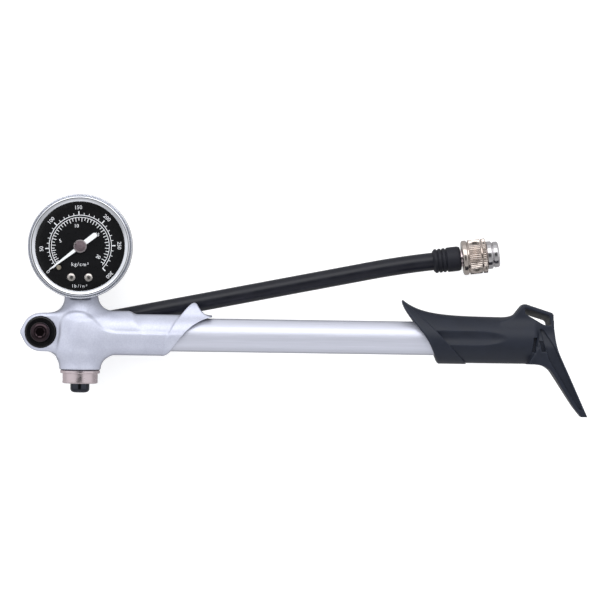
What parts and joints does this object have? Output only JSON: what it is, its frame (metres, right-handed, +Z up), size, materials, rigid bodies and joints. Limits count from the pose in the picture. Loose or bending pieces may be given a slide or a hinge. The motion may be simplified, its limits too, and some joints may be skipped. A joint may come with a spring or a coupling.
{
  "type": "shock suspension pump",
  "caption": "Hand pump for air suspension: silver head with side dial gauge, bleed button, swivelling hose with screw-on chuck, and a sliding black palm handle.",
  "frame": {"origin": "where the barrel's axis meets the vertical axis of the gauge and the bleed valve, inside the head", "axes": "+X along the barrel towards the handle, +Z up through the gauge, and the dial faces -Y"},
  "size_m": [0.2707, 0.0385, 0.1033],
  "materials": {
    "head_silver": "cast, shot blasted and satin silver lacquered",
    "barrel_silver": "drawn tube, satin silver anodised",
    "rubber": "moulded nitrile rubber",
    "seal_black": "flat black gasket",
    "seal_white": "white sealing washer",
    "guide_plastic": "acetal bearing plastic",
    "brass": "turned brass",
    "steel": "spring and fastener steel",
    "rod_steel": "hard chromed rod",
    "nickel": "warm bright nickel plate",
    "chuck_nickel": "warm bright nickel plate, knurled",
    "ferrule_steel": "crimped steel ferrule",
    "chrome": "polished chrome",
    "lens_glass": "clear lens",
    "dial_black": "matt black dial",
    "pin_beige": "plated stop pin",
    "pointer_white": "white enamelled pointer",
    "bolt_black": "black oxide steel",
    "washer_black": "black nylon washer",
    "button_black": "glossy black button",
    "hose_rubber": "smooth black rubber hose",
    "boot_rubber": "moulded black rubber",
    "handle_plastic": "moulded blue-black plastic"
  },
  "bodies": {
    "pump_body": {"head_body": "head_silver", "barrel": "barrel_silver", "barrel_seal": "rubber", "rod_guide": "guide_plastic", "rod_wiper": "rubber", "top_out_bumper": "rubber", "check_valve_seat": "brass", "check_spring": "steel", "bleed_gasket": "seal_black", "bleed_collar": "nickel", "bleed_spring": "steel", "gauge_case": "chrome", "gauge_bezel": "chrome", "gauge_lens": "lens_glass", "lens_gasket": "seal_black", "gauge_socket": "brass", "gauge_stem_seal": "seal_white", "dial_plate": "dial_black", "zero_stop_pin": "pin_beige", "dial_screws": "nickel", "bourdon_tube": "brass", "bourdon_tip": "brass", "movement_plates": "brass", "movement_pillars": "brass", "movement_screws": "steel", "hairspring": "brass", "swivel_bolt": "bolt_black", "swivel_washer": "washer_black", "swivel_seals": "rubber", "swivel_nut": "bolt_black"},
    "piston": {"piston": "guide_plastic", "piston_ring": "rubber"},
    "handle": {"piston_rod": "rod_steel", "piston_clip": "steel", "handle_shell": "handle_plastic", "handle_insert": "brass", "handle_pin": "steel"},
    "hose": {"banjo_fitting": "nickel", "hose_ferrule": "ferrule_steel", "hose_inner": "hose_rubber"},
    "hose_end": {"hose_outer": "hose_rubber", "hose_boot": "boot_rubber", "chuck_core": "nickel", "chuck_seal": "rubber", "depressor_pin": "brass"},
    "thumb_nut": {"chuck_nut": "chuck_nickel", "chuck_tip": "chuck_nickel"},
    "bleed_valve": {"bleed_button": "button_black", "bleed_stem": "brass", "bleed_seal": "rubber"},
    "check_valve": {"check_ball": "steel"},
    "sector": {"sector_gear": "brass", "sector_arbor": "steel"},
    "link": {"gauge_link": "brass"},
    "pointer": {"pointer": "pointer_white", "pointer_arbor": "steel"}
  },
  "joints": [
    {"name": "pump_stroke", "type": "slide", "parent": "pump_body", "child": "piston", "axis": [1, 0, 0], "range_m": [0, 0.155]},
    {"name": "handle_twist", "type": "hinge", "parent": "piston", "child": "handle", "pos_m": [0.02, 0, 0], "axis": [1, 0, 0], "continuous": true},
    {"name": "hose_swivel", "type": "hinge", "parent": "pump_body", "child": "hose", "pos_m": [-0.0185, 0.0145, 0.0005], "axis": [0, -1, 0], "range_deg": [0, 290]},
    {"name": "hose_flex", "type": "hinge", "parent": "hose", "child": "hose_end", "pos_m": [0.07953, 0.0145, 0.02027], "axis": [0, -1, 0], "range_deg": [0, 35], "stiffness_Nm_per_rad": 0.05},
    {"name": "thumb_nut_spin", "type": "hinge", "parent": "hose_end", "child": "thumb_nut", "pos_m": [0.1824, 0.0145, 0.03884], "axis": [0.9921, 0, 0.1253], "continuous": true},
    {"name": "bleed_press", "type": "slide", "parent": "pump_body", "child": "bleed_valve", "axis": [0, 0, 1], "range_m": [0, 0.0015], "stiffness_N_per_m": 400, "springref_m": -0.004, "deforming": ["bleed_spring"]},
    {"name": "check_lift", "type": "slide", "parent": "pump_body", "child": "check_valve", "axis": [-1, 0, 0], "range_m": [0, 0.0008], "deforming": ["check_spring"]},
    {"name": "sector_turn", "type": "hinge", "parent": "pump_body", "child": "sector", "pos_m": [0, 0, 0.03035], "axis": [0, -1, 0], "range_deg": [0, 32.8], "stiffness_Nm_per_rad": 0.01, "springref_deg": -5.73},
    {"name": "link_turn", "type": "hinge", "parent": "sector", "child": "link", "pos_m": [0.00374, 0, 0.02566], "axis": [0, -1, 0], "range_deg": [-41.2, 0.1]},
    {"name": "pointer_turn", "type": "hinge", "parent": "pump_body", "child": "pointer", "pos_m": [0, 0, 0.0416], "axis": [0, 1, 0], "range_deg": [0, 262.6]}
  ],
  "couplings": [
    {"joint": "pointer_turn", "follows": "sector_turn", "ratio": 8},
    {"joint": "link_turn", "follows": "sector_turn", "ratio": -1.2524}
  ]
}
